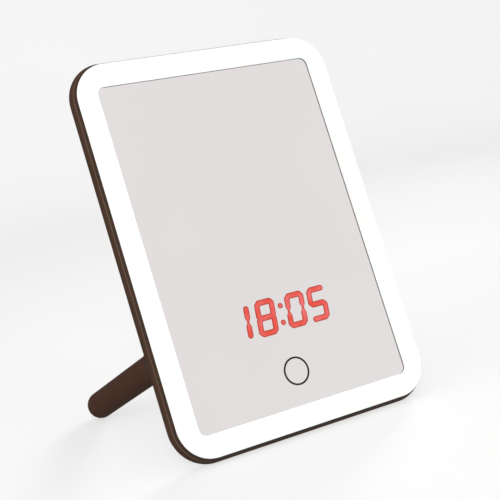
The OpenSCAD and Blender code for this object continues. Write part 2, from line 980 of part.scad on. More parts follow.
// Leg: tang on the pin, round rod and round end
module leg(side) {
    color(leg_brown)
        at_hinge(side)
            rotate([leg_open, 0, 0])
                difference() {
                    union() {
                        pin_bar(2 * knuckle_r, -tang_w / 2, tang_w / 2);
                        translate([-tang_w / 2, -knuckle_r, 0])
                            cube([tang_w, 2 * knuckle_r, shoulder + cut]);
                        translate([0, 0, shoulder])
                            cylinder(r = leg_r, h = leg_arm - shoulder);
                        translate([0, 0, leg_arm])
                            sphere(leg_r);
                    }
                    pin_bar(pin_d + 2 * pin_clear, -tang_w, tang_w);
                }
}

// Left leg
module left_leg() {
    leg(-1);
}

// Right leg
module right_leg() {
    leg(1);
}

rear_shell();
front_bezel();
light_diffuser();
mirror_glass();
mirror_tape();
touch_ring();
clock_digits();
display_block();
touch_sensor();
display_ribbon();
inner_tray();
light_guide();
reflector_sheet();
led_strip_left();
led_strip_right();
led_strip_top();
led_strip_bottom();
led_chips();
main_board();
board_chips();
board_screws();
dome_contacts();
usb_socket();
usb_tongue();
battery();
battery_tape();
battery_leads();
set_button();
up_button();
down_button();
case_screws();
left_bracket();
right_bracket();
bracket_screws();
left_hinge_pin();
right_hinge_pin();
left_washers();
right_washers();
left_leg();
right_leg();
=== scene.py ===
# Lit mirror with a clock, leaning on two folding legs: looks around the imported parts
import bmesh
import bpy
import json
import math
from mathutils import Matrix, Quaternion, Vector


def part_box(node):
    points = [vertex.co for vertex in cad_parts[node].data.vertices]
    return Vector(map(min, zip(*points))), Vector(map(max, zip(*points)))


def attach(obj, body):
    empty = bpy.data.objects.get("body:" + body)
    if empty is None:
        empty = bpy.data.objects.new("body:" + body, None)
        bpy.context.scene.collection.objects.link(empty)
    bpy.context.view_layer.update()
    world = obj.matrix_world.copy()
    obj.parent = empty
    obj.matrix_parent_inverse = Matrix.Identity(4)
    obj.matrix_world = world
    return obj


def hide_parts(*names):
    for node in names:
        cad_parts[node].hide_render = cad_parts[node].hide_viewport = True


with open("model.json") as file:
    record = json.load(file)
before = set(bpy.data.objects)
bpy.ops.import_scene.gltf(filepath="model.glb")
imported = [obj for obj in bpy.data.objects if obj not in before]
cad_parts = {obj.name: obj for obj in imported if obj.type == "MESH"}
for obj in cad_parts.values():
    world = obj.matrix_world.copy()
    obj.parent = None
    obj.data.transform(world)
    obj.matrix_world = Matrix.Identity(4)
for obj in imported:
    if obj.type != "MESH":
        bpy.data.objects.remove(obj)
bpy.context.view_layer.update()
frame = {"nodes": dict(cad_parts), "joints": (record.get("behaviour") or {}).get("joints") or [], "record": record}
nodes = frame["nodes"]
joints = {joint["name"]: joint for joint in frame["joints"]}
scene = bpy.context.scene
mm = 0.001  # piece sizes below are in millimetres
near = 0.01  # places less than this apart count as the same, in millimetres
weld = 0.002  # points less than this apart are merged, in millimetres
overcut = 1  # a cutter reaches this far past a surface, in millimetres
hair = 1e-6  # rounding error that is let pass, in metres
facing = 0.9  # a face looks along z where its normal has more than this of z
upright = 0.2  # a face stands upright where its normal has less than this of z
print("frame loaded:", len(nodes), "parts")


# where the panel stands: x across, y up the panel, z out of the white face
panel = dict(width=148, height=202.4, corner=18, thick=10, border=11.6, openingCorner=4)
opalThick = 2
outOfFace = Vector(joints["set_button_press"]["axis"])
lean = math.atan2(outOfFace.z, -outOfFace.y)
openingWidth = panel["width"] - 2 * panel["border"]
openingHeight = panel["height"] - 2 * panel["border"]


def middle(node):
    low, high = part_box(node)
    return (low + high) / 2


faceCentre = middle("light_diffuser") + outOfFace * opalThick / 2 * mm
panelPlace = Matrix.Translation(faceCentre) @ Matrix.Rotation(math.pi / 2 - lean, 4, "X")
halfTurn = Matrix.Rotation(math.pi, 4, "Y")
# the back's own place: z out of the back, x the other way round
backPlace = panelPlace @ Matrix.Translation((0, 0, -panel["thick"] * mm)) @ halfTurn


# selecting
def clearSelection():
    if bpy.context.object and bpy.context.object.mode == "EDIT":
        bpy.ops.object.mode_set(mode="OBJECT")
    bpy.ops.object.select_all(action="DESELECT")


def onlySelect(piece):
    clearSelection()
    piece.select_set(True)
    bpy.context.view_layer.objects.active = piece


def edit(piece):
    onlySelect(piece)
    bpy.ops.object.mode_set(mode="EDIT")


def choose(piece, kind, test):
    # kind is verts, edges or faces; the piece is in edit mode
    bpy.ops.mesh.select_mode(type={"verts": "VERT", "edges": "EDGE", "faces": "FACE"}[kind])
    bpy.ops.mesh.select_all(action="DESELECT")
    mesh = bmesh.from_edit_mesh(piece.data)
    for part in getattr(mesh, kind):
        if test(part):
            part.select_set(True)
    bmesh.update_edit_mesh(piece.data)


def allIn(edge, test):
    return all(test(v.co / mm) for v in edge.verts)


# modelling by hand
def startPlane(name, width, height, depth=0):
    clearSelection()
    bpy.ops.mesh.primitive_plane_add(size=1)
    piece = bpy.context.object
    piece.name = piece.data.name = name
    bpy.ops.object.mode_set(mode="EDIT")
    bpy.ops.mesh.select_mode(type="VERT")
    bpy.ops.mesh.select_all(action="SELECT")
    bpy.ops.transform.resize(value=(width * mm, height * mm, 1))
    bpy.ops.transform.translate(value=(0, 0, -depth * mm))
    return piece


def closeUp():
    bpy.ops.mesh.select_mode(type="VERT")
    bpy.ops.mesh.select_all(action="SELECT")
    bpy.ops.mesh.remove_doubles(threshold=weld * mm)
    bpy.ops.mesh.normals_make_consistent(inside=False)
    bpy.ops.object.mode_set(mode="OBJECT")


def thicken(thickness):
    bpy.ops.mesh.select_all(action="SELECT")
    bpy.ops.mesh.extrude_region_move(TRANSFORM_OT_translate={"value": (0, 0, -thickness * mm)})


def roundedPlate(name, width, height, corner, front, back, steps=10):
    piece = startPlane(name, width, height, front)
    bpy.ops.mesh.bevel(offset=corner * mm, segments=steps, affect="VERTICES")
    thicken(back - front)
    closeUp()
    return piece


def roundedFrame(name, outer, inner, front, back, steps=14):
    # outer and inner are (width, height, corner)
    piece = startPlane(name, outer[0], outer[1], front)
    bpy.ops.mesh.bevel(offset=outer[2] * mm, segments=steps, affect="VERTICES")
    bpy.ops.mesh.primitive_plane_add(size=1)
    bpy.ops.transform.resize(value=(inner[0] * mm, inner[1] * mm, 1))
    bpy.ops.transform.translate(value=(0, 0, -front * mm))
    bpy.ops.mesh.bevel(offset=inner[2] * mm, segments=steps, affect="VERTICES")
    bpy.ops.mesh.select_all(action="SELECT")
    bpy.ops.mesh.delete(type="ONLY_FACE")
    bpy.ops.mesh.select_all(action="SELECT")
    bpy.ops.mesh.bridge_edge_loops()
    thicken(back - front)
    closeUp()
    return piece


def startChain(name, points):
    piece = startPlane(name, 1, 1)
    bpy.ops.mesh.merge(type="CENTER")
    here = Vector(points[0])
    bpy.ops.transform.translate(value=here * mm)
    for point in points[1:]:
        step = (Vector(point) - here) * mm
        bpy.ops.mesh.extrude_vertices_move(TRANSFORM_OT_translate={"value": step})
        here = Vector(point)
    bpy.ops.mesh.select_all(action="SELECT")
    return piece


def arc(centre, radius, start, end, steps):
    turns = [math.radians(start + (end - start) * step / steps) for step in range(steps + 1)]
    return [(centre[0] + radius * math.cos(t), centre[1] + radius * math.sin(t)) for t in turns]


def turned(name, profile, steps=48):
    # profile is (radius, height) from one end of the axis to the other
    piece = startChain(name, [(radius, 0, height) for radius, height in profile])
    bpy.ops.mesh.spin(steps=steps, angle=2 * math.pi, center=(0, 0, 0), axis=(0, 0, 1))
    closeUp()
    return piece


def sweptRim(name, section, cornerSteps=16):
    # section is (outwards, depth) from the edge of the white face
    reachX = panel["width"] / 2 - panel["corner"]
    reachY = panel["height"] / 2 - panel["corner"]
    edge = panel["width"] / 2
    piece = startChain(name, [(edge + out, -reachY, -depth) for out, depth in section])
    # way of each straight run, and the corner that follows it
    runs = [(0, 1, 1, 1), (-1, 0, -1, 1), (0, -1, -1, -1), (1, 0, 1, -1)]
    for runX, runY, cornerX, cornerY in runs:
        run = (2 * reachX * runX * mm, 2 * reachY * runY * mm, 0)
        bpy.ops.mesh.extrude_region_move(TRANSFORM_OT_translate={"value": run})
        corner = (reachX * cornerX * mm, reachY * cornerY * mm, 0)
        bpy.ops.mesh.spin(steps=cornerSteps, angle=math.pi / 2, center=corner, axis=(0, 0, -1))
    closeUp()
    return piece


def block(name, low, high):
    clearSelection()
    bpy.ops.mesh.primitive_cube_add(size=1)
    piece = bpy.context.object
    piece.name = piece.data.name = name
    bpy.ops.object.mode_set(mode="EDIT")
    bpy.ops.transform.resize(value=[(b - a) * mm for a, b in zip(low, high)])
    bpy.ops.transform.translate(value=[(a + b) / 2 * mm for a, b in zip(low, high)])
    bpy.ops.object.mode_set(mode="OBJECT")
    return piece


def rod(name, radius, low, high, place=(0, 0), steps=48):
    clearSelection()
    bpy.ops.mesh.primitive_cylinder_add(
        vertices=steps, radius=radius * mm, depth=(high - low) * mm,
        location=(place[0] * mm, place[1] * mm, (low + high) / 2 * mm))
    piece = bpy.context.object
    piece.name = piece.data.name = name
    bpy.ops.object.transform_apply(location=True, rotation=True, scale=True)
    return piece


def join(pieces):
    onlySelect(pieces[0])
    for piece in pieces[1:]:
        piece.select_set(True)
    bpy.ops.object.join()
    return pieces[0]


def applyModifier(piece, kind, **settings):
    onlySelect(piece)
    bpy.ops.object.modifier_add(type=kind)
    modifier = piece.modifiers[-1]
    for key, value in settings.items():
        setattr(modifier, key, value)
    bpy.ops.object.modifier_apply(modifier=modifier.name)


def combine(piece, other, operation):
    applyModifier(piece, "BOOLEAN", operation=operation, solver="EXACT", object=other)
    bpy.data.objects.remove(other)


def softenEdges(piece, width, segments=3, angle=35):
    applyModifier(piece, "BEVEL", width=width * mm, segments=segments, limit_method="ANGLE",
                  angle_limit=math.radians(angle), harden_normals=False)


def smooth(piece, angle=30):
    onlySelect(piece)
    bpy.ops.object.shade_smooth_by_angle(angle=math.radians(angle))
    applyModifier(piece, "WEIGHTED_NORMAL", keep_sharp=True)


def bevelChosen(width, segments):
    bpy.ops.mesh.bevel(offset=width * mm, segments=segments, affect="EDGES", profile=0.5)


def applyPlace(piece, place):
    onlySelect(piece)
    piece.matrix_world = place
    bpy.ops.object.transform_apply(location=True, rotation=True, scale=True)


def settle(piece, body, slot, material, *stoodFor):
    if not piece.data.materials:
        piece.data.materials.append(material)
    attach(piece, body)
    if stoodFor:
        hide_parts(*stoodFor)


# finishes
def shade(*rgb):
    # screen colour, 0 to 255, as the shader's own light level
    return [((c / 255 + 0.055) / 1.055) ** 2.4 if c > 10 else c / 255 / 12.92 for c in rgb] + [1]


def startFinish(name):
    material = bpy.data.materials.new(name)
    material.use_nodes = True
    tree = material.node_tree
    coords = tree.nodes.new("ShaderNodeTexCoord")
    return material, tree, tree.nodes["Principled BSDF"], coords.outputs["Object"]


def noise(tree, vector, scale, detail):
    node = tree.nodes.new("ShaderNodeTexNoise")
    node.inputs["Scale"].default_value = scale
    node.inputs["Detail"].default_value = detail
    tree.links.new(vector, node.inputs["Vector"])
    return node.outputs["Fac"]


def ramp(tree, factor, dark, light, low=0.35, high=0.65):
    node = tree.nodes.new("ShaderNodeValToRGB")
    node.color_ramp.elements[0].position = low
    node.color_ramp.elements[0].color = dark
    node.color_ramp.elements[1].position = high
    node.color_ramp.elements[1].color = light
    tree.links.new(factor, node.inputs["Fac"])
    return node.outputs["Color"]


def spread(tree, factor, low, high, start=0.3, end=0.7):
    node = tree.nodes.new("ShaderNodeMapRange")
    node.inputs["From Min"].default_value = start
    node.inputs["From Max"].default_value = end
    node.inputs["To Min"].default_value = low
    node.inputs["To Max"].default_value = high
    tree.links.new(factor, node.inputs["Value"])
    return node.outputs["Result"]


def bump(tree, shader, height, strength, distance):
    node = tree.nodes.new("ShaderNodeBump")
    node.inputs["Strength"].default_value = strength
    node.inputs["Distance"].default_value = distance * mm
    tree.links.new(height, node.inputs["Height"])
    tree.links.new(node.outputs["Normal"], shader.inputs["Normal"])


surfaceLook = dict(patchDetail=4, fineDetail=2, glossFiner=8, grainDeep=0.05)


def surface(name, dark, light, patch, rough=(0.4, 0.5), grain=3000, relief=0.2, metallic=0,
            specular=0.5):
    # general finish: two shades in soft patches, uneven gloss and a fine grain
    look = surfaceLook
    material, tree, shader, vector = startFinish(name)
    patches = noise(tree, vector, patch, look["patchDetail"])
    tree.links.new(ramp(tree, patches, shade(*dark), shade(*light)), shader.inputs["Base Color"])
    gloss = noise(tree, vector, patch * look["glossFiner"], look["fineDetail"])
    tree.links.new(spread(tree, gloss, *rough), shader.inputs["Roughness"])
    grains = noise(tree, vector, grain, look["fineDetail"])
    bump(tree, shader, grains, relief, look["grainDeep"])
    shader.inputs["Metallic"].default_value = metallic
    shader.inputs["Specular IOR Level"].default_value = specular
    return material


finishes = dict(
    case=surface("satinBrown", (69, 48, 36), (72, 51, 39), patch=30, rough=(0.42, 0.5), grain=2600,
                 relief=0.08, specular=0.2),
    # the rim is a little darker than the case: painted shade beside the white face
    rim=surface("rimBrown", (64, 46, 36), (67, 49, 39), patch=30, rough=(0.42, 0.5), grain=2600,
                relief=0.08, specular=0.2),
    # lighter brown for the shell's chamfer: a painted highlight
    sheen=surface("edgeSheen", (96, 74, 61), (105, 83, 70), patch=60, rough=(0.3, 0.36), grain=2600,
                  relief=0.05, specular=0.4),
    leg=surface("legBrown", (74, 48, 34), (77, 51, 37), patch=30, rough=(0.45, 0.55), grain=2600,
                relief=0.08, specular=0.15),
    # grey for the side walls of the border's opening: painted shade on the white opal
    lip=surface("lipGrey", (112, 109, 106), (122, 119, 115), patch=200, rough=(0.5, 0.6), specular=0.2),
    print=surface("ringInk", (40, 36, 35), (47, 43, 42), patch=900, rough=(0.55, 0.7), grain=5000,
                  relief=0.1, specular=0.1),
    tray=surface("trayWhite", (222, 222, 218), (236, 236, 232), patch=80),
    guide=surface("guideClear", (224, 234, 238), (238, 244, 246), patch=60, rough=(0.08, 0.14),
                  relief=0.05),
    lights=surface("ledYellow", (236, 214, 140), (250, 232, 170), patch=900, rough=(0.3, 0.45)),
    tape=surface("tapeBlack", (30, 30, 32), (42, 42, 44), patch=300, rough=(0.6, 0.75)),
    black=surface("buttonBlack", (40, 37, 35), (50, 46, 44), patch=150, rough=(0.4, 0.5), relief=0.25),
    board=surface("boardGreen", (34, 82, 54), (58, 112, 74), patch=420, rough=(0.25, 0.4)),
    steel=surface("screwSteel", (150, 152, 156), (188, 190, 194), patch=500, rough=(0.25, 0.38),
                  grain=1500, relief=0.12, metallic=1),
    foil=surface("sensorCopper", (170, 104, 62), (196, 128, 80), patch=300, rough=(0.3, 0.45),
                 metallic=1),
    cell=surface("cellSilver", (146, 150, 156), (168, 172, 176), patch=90, rough=(0.35, 0.5),
                 metallic=0.6),
    leads=surface("leadRed", (176, 46, 38), (200, 62, 52), patch=500, rough=(0.4, 0.5)),
)


opalLook = dict(dark=(235, 235, 234), light=(239, 239, 238), cloud=25, gloss=900, detail=2,
                rough=(0.32, 0.4), glow=(0.1, 0.115), glowColour=(255, 254, 250), inside=0.25, deep=1.5)


def opalFinish(name, look):
    # lit acrylic: faint clouding in the sheet and in its light
    material, tree, shader, vector = startFinish(name)
    cloud = noise(tree, vector, look["cloud"], look["detail"])
    colour = ramp(tree, cloud, shade(*look["dark"]), shade(*look["light"]))
    tree.links.new(colour, shader.inputs["Base Color"])
    gloss = noise(tree, vector, look["gloss"], look["detail"])
    tree.links.new(spread(tree, gloss, *look["rough"]), shader.inputs["Roughness"])
    tree.links.new(spread(tree, cloud, *look["glow"]), shader.inputs["Emission Strength"])
    shader.inputs["Emission Color"].default_value = shade(*look["glowColour"])
    shader.inputs["Subsurface Weight"].default_value = look["inside"]
    shader.inputs["Subsurface Scale"].default_value = look["deep"] * mm
    return material


mirrorLook = dict(dark=(226, 221, 221), light=(228, 223, 223), patch=9, patchDetail=2, gloss=25,
                  glossDetail=3, rough=(0.015, 0.035))


def mirrorFinish(name, look):
    # half-silvered glass with barely uneven gloss
    material, tree, shader, vector = startFinish(name)
    patches = noise(tree, vector, look["patch"], look["patchDetail"])
    colour = ramp(tree, patches, shade(*look["dark"]), shade(*look["light"]))
    tree.links.new(colour, shader.inputs["Base Color"])
    gloss = noise(tree, vector, look["gloss"], look["glossDetail"])
    tree.links.new(spread(tree, gloss, *look["rough"]), shader.inputs["Roughness"])
    shader.inputs["Metallic"].default_value = 1
    return material


digitLook = dict(patch=160, detail=2, glow=1, unlit=(30, 6, 5), rough=0.6, specular=0.1)


def digitFinish(name, dark, light, look):
    # red light in two shades
    material, tree, shader, vector = startFinish(name)
    patches = noise(tree, vector, look["patch"], look["detail"])
    glow = ramp(tree, patches, shade(*dark), shade(*light))
    tree.links.new(glow, shader.inputs["Emission Color"])
    shader.inputs["Emission Strength"].default_value = look["glow"]
    shader.inputs["Base Color"].default_value = shade(*look["unlit"])
    shader.inputs["Roughness"].default_value = look["rough"]
    shader.inputs["Specular IOR Level"].default_value = look["specular"]
    return material


finishes["opal"] = opalFinish("litOpal", opalLook)
finishes["mirror"] = mirrorFinish("halfSilver", mirrorLook)
finishes["digits"] = digitFinish("litDigits", (232, 86, 72), (240, 114, 116), digitLook)
finishes["digitRim"] = digitFinish("digitRim", (184, 74, 58), (194, 82, 66), digitLook)
print("finishes made:", len(finishes))

# every carried-over part takes the finish of its own slot
for part in frame["record"]["subparts"]:
    node = nodes[part["node"]]
    node.data.materials.clear()
    node.data.materials.append(finishes[part["material_slot"]])

# white border: opal frame whose front flares a little over the case, with a pocket for the glass
opalDims = dict(gap=0.12, flange=0.12, flareUp=0.38, flareRight=0.18, inset=0.2, edge=0.06, lip=0.7,
                pocket=2.1, lipEdge=0.2, lipDown=0.3, lipOut=0.2, lipBand=0.5)


def makeOpalBorder(d):
    outer = (panel["width"] - 2 * d["gap"], panel["height"] - 2 * d["gap"],
             panel["corner"] - d["gap"])
    inner = (openingWidth, openingHeight, panel["openingCorner"])
    piece = roundedFrame("opalBorder", outer, inner, d["flange"], opalThick)

    def byLip(p):
        besideX = abs(p.x) < openingWidth / 2 + d["lipBand"]
        return besideX and abs(p.y) < openingHeight / 2 + d["lipBand"]

    def atFront(p):
        return p.z > -near and not byLip(p)

    edit(piece)
    choose(piece, "faces", lambda f: f.normal.z > facing)
    bpy.ops.mesh.extrude_region_move(TRANSFORM_OT_translate={"value": (0, 0, d["flange"] * mm)})
    for test, move in [(lambda p: atFront(p) and p.y > 0, (0, d["flareUp"])),
                       (lambda p: atFront(p) and p.x > 0, (d["flareRight"], 0)),
                       (lambda p: atFront(p) and p.x < 0, (d["inset"], 0)),
                       (lambda p: byLip(p) and p.y > 0, (0, -d["lipDown"])),
                       (lambda p: byLip(p) and p.x > 0, (d["lipOut"], 0))]:
        choose(piece, "verts", lambda v: test(v.co / mm))
        bpy.ops.transform.translate(value=(move[0] * mm, move[1] * mm, 0))
    # room for the rounded lip above the next row of points
    choose(piece, "verts", lambda v: byLip(v.co / mm) and abs(v.co.z / mm + d["flange"]) < near)
    bpy.ops.transform.translate(value=(0, 0, -d["lipEdge"] * mm))
    choose(piece, "edges", lambda e: allIn(e, atFront))
    bevelChosen(d["edge"], 2)
    choose(piece, "edges", lambda e: allIn(e, lambda p: p.z > -near and byLip(p)))
    bevelChosen(d["lipEdge"], 3)
    pocket = roundedPlate("pocket", openingWidth + 2 * d["pocket"], openingHeight + 2 * d["pocket"],
                          panel["openingCorner"] + d["pocket"], d["lip"], opalThick + overcut)
    combine(piece, pocket, "DIFFERENCE")
    piece.data.materials.append(finishes["opal"])
    piece.data.materials.append(finishes["lip"])
    edit(piece)
    # the side walls of the opening take the grey finish: painted shade
    choose(piece, "faces",
           lambda f: byLip(f.calc_center_median() / mm) and abs(f.normal.z) < upright)
    piece.active_material_index = 1
    bpy.ops.object.material_slot_assign()
    smooth(piece)
    applyPlace(piece, panelPlace)
    settle(piece, "panel", "opal", finishes["opal"], "light_diffuser")


# half-silvered glass, its edges ground off, and the ring printed on it
glassDims = dict(thick=2, overlap=2, edge=0.15, ringRadius=7.33, ringLine=0.95, ink=0.1)


def makeMirror(d):
    front = opalDims["lip"]
    width = openingWidth + 2 * d["overlap"]
    height = openingHeight + 2 * d["overlap"]
    piece = roundedPlate("mirrorPane", width, height, panel["openingCorner"] + d["overlap"],
                         front, front + d["thick"])
    softenEdges(piece, d["edge"], 2)
    smooth(piece)
    applyPlace(piece, panelPlace)
    settle(piece, "panel", "mirror", finishes["mirror"], "mirror_glass")


def onGlass(node):
    # the node's own place on the panel, brought to the front of the glass
    centre = panelPlace.inverted() @ middle(node)
    return panelPlace @ Matrix.Translation((centre.x, centre.y, -opalDims["lip"] * mm))


def makeRing(d):
    outside = d["ringRadius"]
    inside = outside - d["ringLine"]
    section = [(inside, 0), (outside, 0), (outside, d["ink"]), (inside, d["ink"]), (inside, 0)]
    piece = turned("touchRing", section, steps=96)
    smooth(piece)
    applyPlace(piece, onGlass("touch_ring"))
    settle(piece, "panel", "print", finishes["print"], "touch_ring")


# clock: flat bars with round or pinched ends, a bright core on a darker rim
# rimShare is the rim's share of the thickness, roundShare the end radius as a share of a bar's width
clockDims = dict(wide=8.6, slope=7.5, stroke=3.1, hold=1.2, rim=0.6, tip=1.1, taper=1.3, thick=0.15,
                 rimShare=0.6, roundShare=0.498, coreBack=0.5, lower=0.15, colonX=0.9,
                 colonUp=(-4.7, 3.9), colonRadius=1.45)
digits = [dict(place=-23.4, tall=15.8, lit="bc"), dict(place=-8.3, tall=15.8, lit="abcdefg"),
          dict(place=9.7, tall=15.1, lit="abcdef"), dict(place=23.4, tall=15.2, lit="acdfg")]
flatSegments = "adg"
segmentEnds = dict(a=((0, 2), (1, 2)), b=((1, 2), (1, 1)), c=((1, 1), (1, 0)), d=((0, 0), (1, 0)),
                   e=((0, 1), (0, 0)), f=((0, 2), (0, 1)), g=((0, 1), (1, 1)))


def gridPoint(digit, spot, d):
    up = (spot[1] - 1) * digit["tall"] / 2
    across = (spot[0] - 0.5) * d["wide"] + up * math.tan(math.radians(d["slope"]))
    return Vector((digit["place"] + across, up))


def makeStroke(start, end, pinched, width, thick, d):
    run = end - start
    low = 0 if pinched[0] else -width / 2
    high = run.length + (0 if pinched[1] else width / 2)
    piece = startPlane("stroke", high - low, width, -thick)
    for side, pinch in zip((-1, 1), pinched):
        choose(piece, "verts", lambda v: v.co.x * side > (high - low) / 2 * mm - hair)
        if pinch:
            bpy.ops.mesh.bevel(offset=(width - d["tip"]) / 2 * mm, segments=1, affect="VERTICES")
            choose(piece, "verts",
                   lambda v: v.co.x * side > 0 and abs(v.co.y) > width / 2 * mm - hair)
            bpy.ops.transform.translate(value=(-side * d["taper"] * mm, 0, 0))
        else:
            endRadius = width * d["roundShare"] * mm
            bpy.ops.mesh.bevel(offset=endRadius, segments=8, affect="VERTICES")
    thicken(thick)
    closeUp()
    heading = Matrix.Rotation(math.atan2(run.y, run.x), 4, "Z")
    along = Matrix.Translation(start.to_3d() * mm) @ heading
    applyPlace(piece, along @ Matrix.Translation(((low + high) / 2 * mm, 0, 0)))
    return piece


def makeDigit(digit, width, thick, back, d):
    # strokes stop short of the grid and slanting links close the corners
    # where two uprights meet with no bar between them, they pinch
    strokes = []
    ends = {}
    lit = digit["lit"]
    for segment in lit:
        spots = segmentEnds[segment]
        points = [gridPoint(digit, spot, d) for spot in spots]
        along = (points[1] - points[0]).normalized()
        mayPinch = segment not in flatSegments and "g" not in lit
        pinched = [mayPinch and spot[1] == 1 for spot in spots]
        holds = [back if pinch else d["hold"] for pinch in pinched]
        held = (points[0] + along * holds[0], points[1] - along * holds[1])
        ends.update({(segment, spot): point for spot, point in zip(spots, held)})
        strokes.append(makeStroke(*held, pinched, width, thick, d))
    for flat, spot in [key for key in ends if key[0] in flatSegments]:
        for other in [key[0] for key in ends if key[1] == spot and key[0] not in flatSegments]:
            link = (ends[flat, spot], ends[other, spot])
            strokes.append(makeStroke(*link, (False, False), width, thick, d))
    return join(strokes)


def makeClock(d):
    layers = []
    slant = math.tan(math.radians(d["slope"]))
    rimLayer = ("digitRim", d["stroke"], d["thick"] * d["rimShare"], 0)
    coreLayer = ("digits", d["stroke"] - 2 * d["rim"], d["thick"], d["coreBack"])
    for finish, width, thick, back in [rimLayer, coreLayer]:
        shapes = [makeDigit(digit, width, thick, back, d) for digit in digits]
        radius = d["colonRadius"] - (d["stroke"] - width) / 2
        for up in d["colonUp"]:
            shapes.append(rod("dot", radius, 0, thick, (d["colonX"] + up * slant, up)))
        layer = join(shapes)
        layer.data.materials.append(finishes[finish])
        layers.append(layer)
    piece = join(layers)
    piece.name = piece.data.name = "clockDigits"
    smooth(piece)
    centre = panelPlace.inverted() @ middle("clock_digits")
    shift = Matrix.Translation((0, centre.y - d["lower"] * mm, -opalDims["lip"] * mm))
    applyPlace(piece, panelPlace @ shift)
    settle(piece, "panel", "digits", finishes["digits"], "clock_digits")


# case: front rim round the border, a little darker than the shell as painted shade, and the shell behind it, whose
# chamfer at the parting is lighter as a painted highlight
# edgeNear and holeNear say how close a point lies to an edge that is picked for a bevel
caseDims = dict(draft=24, backRound=4.5, parting=2.15, rimDrop=0.14, rimEdge=0.05, chamfer=0.45,
                wall=1.5, ledge=2.1, ledgeFront=2, ledgeBack=2.6, skirt=(1.8, 0.9), skirtBack=4.3,
                screwInset=13, holeEdge=0.2, edgeNear=0.1, holeNear=0.02)


def makeFrontRim(d):
    slope = math.tan(math.radians(d["draft"]))
    outside, inside = d["skirt"]
    section = [(0, d["rimDrop"]), (d["rimDrop"] * slope, d["rimDrop"]),
               (d["parting"] * slope, d["parting"]), (-inside, d["parting"]),
               (-inside, d["skirtBack"]), (-outside, d["skirtBack"]), (-outside, d["ledgeBack"]),
               (-d["ledge"], d["ledgeBack"]), (-d["ledge"], d["ledgeFront"]),
               (0, d["ledgeFront"]), (0, d["rimDrop"])]
    piece = sweptRim("frontRim", section)
    softenEdges(piece, d["rimEdge"], 2)
    smooth(piece)
    applyPlace(piece, panelPlace)
    settle(piece, "panel", "case", finishes["rim"], "front_bezel")


# charging socket on the right side: z points out of its mouth
socketDims = dict(width=8.9, thick=3.2, long=7.3, wall=0.3, edge=0.06, clear=0.15, slotFront=-3,
                  slotBack=4)
socketMouth = Vector((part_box("usb_socket")[1].x, *middle("usb_socket").yz))
sideways = Matrix(((0, 0, 1, 0), (1, 0, 0, 0), (0, 1, 0, 0), (0, 0, 0, 1)))
socketPlace = panelPlace @ Matrix.Translation(panelPlace.inverted() @ socketMouth) @ sideways


def makeSocket(d):
    piece = roundedPlate("socketShell", d["width"], d["thick"], d["thick"] / 2, 0, d["long"])
    edit(piece)
    choose(piece, "faces", lambda f: f.normal.z > facing)
    bpy.ops.mesh.delete(type="ONLY_FACE")
    bpy.ops.object.mode_set(mode="OBJECT")
    applyModifier(piece, "SOLIDIFY", thickness=d["wall"] * mm, offset=-1, use_even_offset=True)
    softenEdges(piece, d["edge"], 2)
    smooth(piece)
    applyPlace(piece, socketPlace)
    settle(piece, "panel", "steel", finishes["steel"], "usb_socket")


# push buttons on the back: dished caps with a collar inside the case
buttonDims = dict(cap=3, out=0.6, edge=0.4, dish=0.2, dishRadius=2.4, dishSteps=4, collar=4,
                  collarTop=-1.54, collarLow=-2.11, clear=0.15, holeDeep=3)
buttonNodes = ["set_button", "up_button", "down_button"]
buttonPlaces = [backPlace.inverted() @ middle(node) for node in buttonNodes]


def makeButtons(d):
    for node, place in zip(buttonNodes, buttonPlaces):
        steps = d["dishSteps"]
        dish = [(d["dishRadius"] * s / steps, d["out"] - d["dish"] * (1 - (s / steps) ** 2))
                for s in range(steps + 1)]
        profile = dish + arc((d["cap"] - d["edge"], d["out"] - d["edge"]), d["edge"], 90, 0, 5)
        profile += [(d["cap"], d["collarTop"]), (d["collar"], d["collarTop"]),
                    (d["collar"], d["collarLow"]), (0, d["collarLow"])]
        piece = turned(node.replace("_b", "B"), profile)
        smooth(piece, 40)
        applyPlace(piece, backPlace @ Matrix.Translation((place.x, place.y, 0)))
        settle(piece, node, "black", finishes["black"], node)


def screwPlaces(inset):
    reachX = panel["width"] / 2 - inset
    reachY = panel["height"] / 2 - inset
    return [(x * reachX, y * reachY) for x in (-1, 1) for y in (-1, 1)]


def shellHoles(d):
    # x, y, radius and depth of the button holes and of the sunk screw heads
    radius = buttonDims["cap"] + buttonDims["clear"]
    deep = buttonDims["holeDeep"]
    holes = [(-place.x / mm, place.y / mm, radius, deep) for place in buttonPlaces]
    for x, y in screwPlaces(d["screwInset"]):
        holes.append((x, y, screwDims["head"] + screwDims["clear"], screwDims["headThick"]))
    return holes


